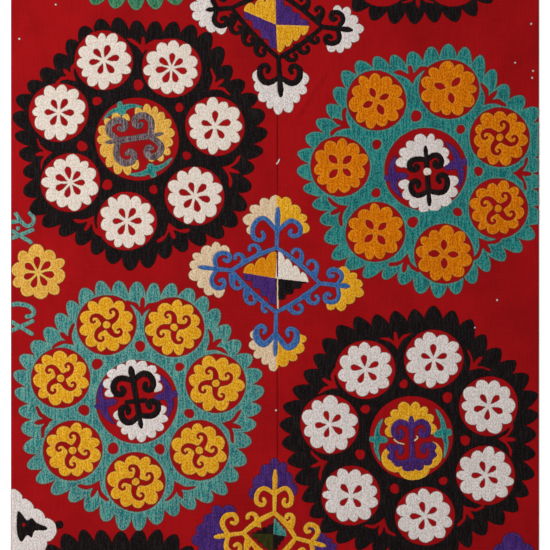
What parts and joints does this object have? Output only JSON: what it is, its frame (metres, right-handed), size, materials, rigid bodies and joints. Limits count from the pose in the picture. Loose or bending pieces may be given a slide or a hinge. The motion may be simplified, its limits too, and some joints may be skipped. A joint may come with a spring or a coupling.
{
  "type": "suzani embroidered textile",
  "caption": "Red cotton cloth joined down the middle and covered with wheel flowers, round rosettes and hooked diamonds in thick laid thread, lying flat and face up.",
  "frame": {"origin": "middle of the underside, on the surface that the cloth lies on", "axes": "+Y up the cloth as the picture shows it, along the seam; +X to its right; +Z out of the embroidered face"},
  "size_m": [0.95, 1, 0.0031],
  "materials": {
    "red_cotton": "matt plain-woven cotton",
    "black_thread": "laid and couched thread, soft sheen",
    "teal_thread": "laid and couched thread, soft sheen",
    "green_thread": "laid and couched thread, soft sheen",
    "cream_thread": "laid and couched thread, soft sheen",
    "orange_thread": "laid and couched thread, soft sheen",
    "yellow_thread": "laid and couched thread, soft sheen",
    "blue_thread": "laid and couched thread, soft sheen",
    "grey_thread": "laid and couched thread, soft sheen",
    "purple_thread": "laid and couched thread, soft sheen"
  },
  "bodies": {
    "root": {"ground_left": "red_cotton", "ground_right": "red_cotton", "web_a": "black_thread", "rosette_a_1": "cream_thread", "rosette_a_2": "cream_thread", "rosette_a_3": "cream_thread", "rosette_a_4": "cream_thread", "rosette_a_5": "cream_thread", "rosette_a_6": "cream_thread", "rosette_a_7": "cream_thread", "web_b": "teal_thread", "rosette_b_1": "orange_thread", "rosette_b_2": "orange_thread", "rosette_b_3": "orange_thread", "rosette_b_4": "orange_thread", "rosette_b_5": "orange_thread", "rosette_b_6": "orange_thread", "rosette_b_7": "orange_thread", "web_c": "teal_thread", "rosette_c_1": "yellow_thread", "rosette_c_2": "yellow_thread", "rosette_c_3": "yellow_thread", "rosette_c_4": "yellow_thread", "rosette_c_5": "yellow_thread", "rosette_c_6": "yellow_thread", "rosette_c_7": "yellow_thread", "web_d": "black_thread", "rosette_d_1": "cream_thread", "rosette_d_2": "cream_thread", "rosette_d_3": "cream_thread", "rosette_d_4": "cream_thread", "rosette_d_5": "cream_thread", "rosette_d_6": "cream_thread", "rosette_d_7": "cream_thread", "web_e": "green_thread", "web_f": "black_thread", "web_g": "black_thread", "rosette_edge": "yellow_thread", "flower_a": "grey_thread", "leaf_a_1": "teal_thread", "leaf_a_2": "teal_thread", "flower_b": "black_thread", "leaf_b_1": "purple_thread", "leaf_b_2": "purple_thread", "flower_c": "black_thread", "leaf_c_1": "purple_thread", "leaf_c_2": "purple_thread", "flower_d": "purple_thread", "leaf_d_1": "teal_thread", "leaf_d_2": "teal_thread", "diamond_middle": "blue_thread", "lozenge_middle": "orange_thread", "diamond_top": "black_thread", "lozenge_top": "orange_thread", "diamond_bottom": "yellow_thread", "lozenge_bottom": "orange_thread", "sign_upper": "teal_thread", "sign_lower": "teal_thread", "bloom": "cream_thread", "patch": "purple_thread"}
  },
  "joints": []
}
